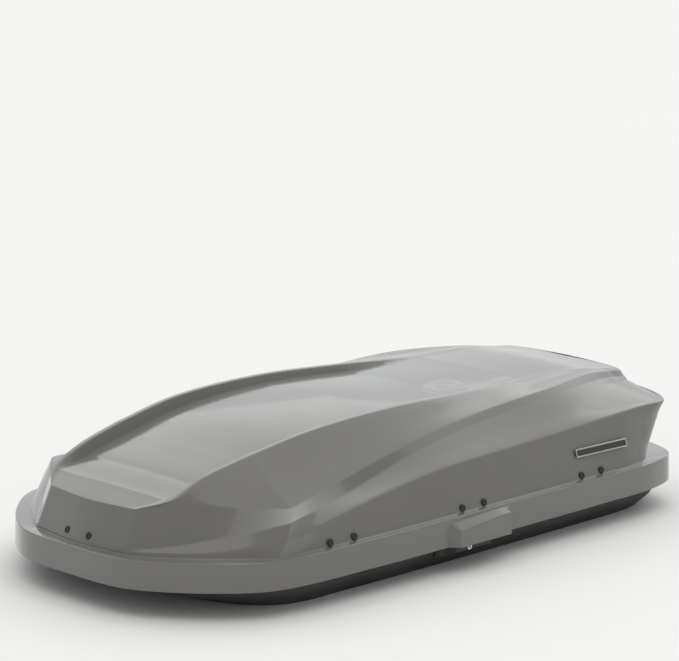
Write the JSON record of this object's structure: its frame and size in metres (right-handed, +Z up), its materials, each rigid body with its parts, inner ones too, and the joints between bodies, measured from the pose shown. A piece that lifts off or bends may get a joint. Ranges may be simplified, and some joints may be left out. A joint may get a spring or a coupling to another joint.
{
  "type": "roof cargo box",
  "caption": "Hard-shell roof cargo box for a car, with a lid that opens from either long side on hinge rods, claw latches, key locks and folding lid lifters.",
  "frame": {"origin": "middle of the closed box's footprint, on the flat underside of the base", "axes": "+X along the length from the nose to the tail, +Y across to the right-hand long side, +Z up"},
  "size_m": [1.6254, 0.914, 0.339],
  "materials": {
    "lid_abs": "gloss, medium warm grey",
    "base_abs": "fine grained, charcoal black",
    "black_nylon": "satin moulded nylon",
    "zinc_steel": "zinc plated",
    "lock_chrome": "polished",
    "badge_metal": "satin, blank"
  },
  "bodies": {
    "base": {"base_shell": "base_abs", "floor_rail_left": "zinc_steel", "saddle_strip_left": "zinc_steel", "latch_cover_left": "black_nylon", "lock_housing_left": "black_nylon", "floor_rail_right": "zinc_steel", "saddle_strip_right": "zinc_steel", "latch_cover_right": "black_nylon", "lock_housing_right": "black_nylon", "catch_striker_front": "zinc_steel", "catch_striker_rear": "zinc_steel", "lifter_front_foot": "zinc_steel", "lifter_rear_foot": "zinc_steel"},
    "right_hinge_rod": {"hinge_rod_right": "zinc_steel"},
    "lid": {"lid_shell": "lid_abs", "hinge_rod_left": "zinc_steel", "lug_strip_left": "zinc_steel", "lug_strip_right": "zinc_steel", "lifter_front_lid_bracket": "zinc_steel", "lifter_rear_lid_bracket": "zinc_steel", "catch_tongue_front": "zinc_steel", "catch_tongue_rear": "zinc_steel", "badge_left": "badge_metal", "badge_right": "badge_metal", "plug_nose_left": "black_nylon", "plug_tail_left": "black_nylon", "plug_left_front_a": "black_nylon", "plug_left_front_b": "black_nylon", "plug_left_middle_a": "black_nylon", "plug_left_middle_b": "black_nylon", "plug_left_rear_a": "black_nylon", "plug_left_rear_b": "black_nylon", "plug_nose_right": "black_nylon", "plug_tail_right": "black_nylon", "plug_right_front_a": "black_nylon", "plug_right_front_b": "black_nylon", "plug_right_middle_a": "black_nylon", "plug_right_middle_b": "black_nylon", "plug_right_rear_a": "black_nylon", "plug_right_rear_b": "black_nylon"},
    "lock_left": {"lock_barrel_left": "lock_chrome", "lock_cam_left": "zinc_steel"},
    "claws_left": {"claw_shaft_left": "zinc_steel"},
    "lock_right": {"lock_barrel_right": "lock_chrome", "lock_cam_right": "zinc_steel"},
    "claws_right": {"claw_shaft_right": "zinc_steel"},
    "front_foot_bolt": {"lifter_front_foot_bolt": "zinc_steel"},
    "front_paddle": {"lifter_front_paddle": "black_nylon"},
    "front_elbow_bolt": {"lifter_front_elbow_bolt": "zinc_steel"},
    "front_link": {"lifter_front_link": "zinc_steel", "lifter_front_lid_pin": "zinc_steel"},
    "rear_foot_bolt": {"lifter_rear_foot_bolt": "zinc_steel"},
    "rear_paddle": {"lifter_rear_paddle": "black_nylon"},
    "rear_elbow_bolt": {"lifter_rear_elbow_bolt": "zinc_steel"},
    "rear_link": {"lifter_rear_link": "zinc_steel", "lifter_rear_lid_pin": "zinc_steel"}
  },
  "joints": [
    {"name": "lid_open_right", "type": "hinge", "parent": "base", "child": "right_hinge_rod", "pos_m": [0, -0.372, 0.08], "axis": [1, 0, 0], "range_deg": [0, 35]},
    {"name": "lid_open_left", "type": "hinge", "parent": "right_hinge_rod", "child": "lid", "pos_m": [0, 0.372, 0.08], "axis": [-1, 0, 0], "range_deg": [0, 35]},
    {"name": "lock_turn_left", "type": "hinge", "parent": "base", "child": "lock_left", "pos_m": [-0.001, -0.4, 0.046], "axis": [0, -1, 0], "range_deg": [0, 90]},
    {"name": "lock_turn_right", "type": "hinge", "parent": "base", "child": "lock_right", "pos_m": [-0.001, 0.4, 0.046], "axis": [0, -1, 0], "range_deg": [0, 90]},
    {"name": "claws_turn_left", "type": "hinge", "parent": "base", "child": "claws_left", "pos_m": [0, -0.372, 0.056], "axis": [1, 0, 0], "range_deg": [0, 50]},
    {"name": "claws_turn_right", "type": "hinge", "parent": "base", "child": "claws_right", "pos_m": [0, 0.372, 0.056], "axis": [-1, 0, 0], "range_deg": [0, 50]},
    {"name": "front_foot_bolt_turn", "type": "hinge", "parent": "base", "child": "front_foot_bolt", "pos_m": [-0.5, 0, 0.03], "axis": [1, 0, 0], "range_deg": [0, 72.67]},
    {"name": "front_paddle_turn", "type": "hinge", "parent": "front_foot_bolt", "child": "front_paddle", "pos_m": [-0.5, 0, 0.03], "axis": [1, 0, 0], "range_deg": [0, 30.05]},
    {"name": "front_elbow_bolt_turn", "type": "hinge", "parent": "front_paddle", "child": "front_elbow_bolt", "pos_m": [-0.5, 0.18547, 0.11732], "axis": [-1, 0, 0], "range_deg": [0, 99.34]},
    {"name": "front_link_turn", "type": "hinge", "parent": "front_elbow_bolt", "child": "front_link", "pos_m": [-0.5, 0.18547, 0.11732], "axis": [-1, 0, 0], "range_deg": [0, 99.34]},
    {"name": "rear_foot_bolt_turn", "type": "hinge", "parent": "base", "child": "rear_foot_bolt", "pos_m": [0.5, 0, 0.03], "axis": [-1, 0, 0], "range_deg": [0, 72.67]},
    {"name": "rear_paddle_turn", "type": "hinge", "parent": "rear_foot_bolt", "child": "rear_paddle", "pos_m": [0.5, 0, 0.03], "axis": [-1, 0, 0], "range_deg": [0, 30.05]},
    {"name": "rear_elbow_bolt_turn", "type": "hinge", "parent": "rear_paddle", "child": "rear_elbow_bolt", "pos_m": [0.5, -0.18547, 0.11732], "axis": [1, 0, 0], "range_deg": [0, 99.34]},
    {"name": "rear_link_turn", "type": "hinge", "parent": "rear_elbow_bolt", "child": "rear_link", "pos_m": [0.5, -0.18547, 0.11732], "axis": [1, 0, 0], "range_deg": [0, 99.34]}
  ],
  "couplings": [
    {"joint": "claws_turn_left", "follows": "lock_turn_left", "ratio": 0.5555},
    {"joint": "claws_turn_right", "follows": "lock_turn_right", "ratio": 0.5555},
    {"joint": "front_foot_bolt_turn", "follows": "lid_open_right", "ratio": 2.075},
    {"joint": "front_paddle_turn", "follows": "lid_open_left", "ratio": 0.857},
    {"joint": "front_elbow_bolt_turn", "follows": "lid_open_right", "ratio": 2.837},
    {"joint": "front_link_turn", "follows": "lid_open_left", "ratio": 2.837},
    {"joint": "rear_foot_bolt_turn", "follows": "lid_open_left", "ratio": 2.075},
    {"joint": "rear_paddle_turn", "follows": "lid_open_right", "ratio": 0.857},
    {"joint": "rear_elbow_bolt_turn", "follows": "lid_open_left", "ratio": 2.837},
    {"joint": "rear_link_turn", "follows": "lid_open_right", "ratio": 2.837}
  ]
}
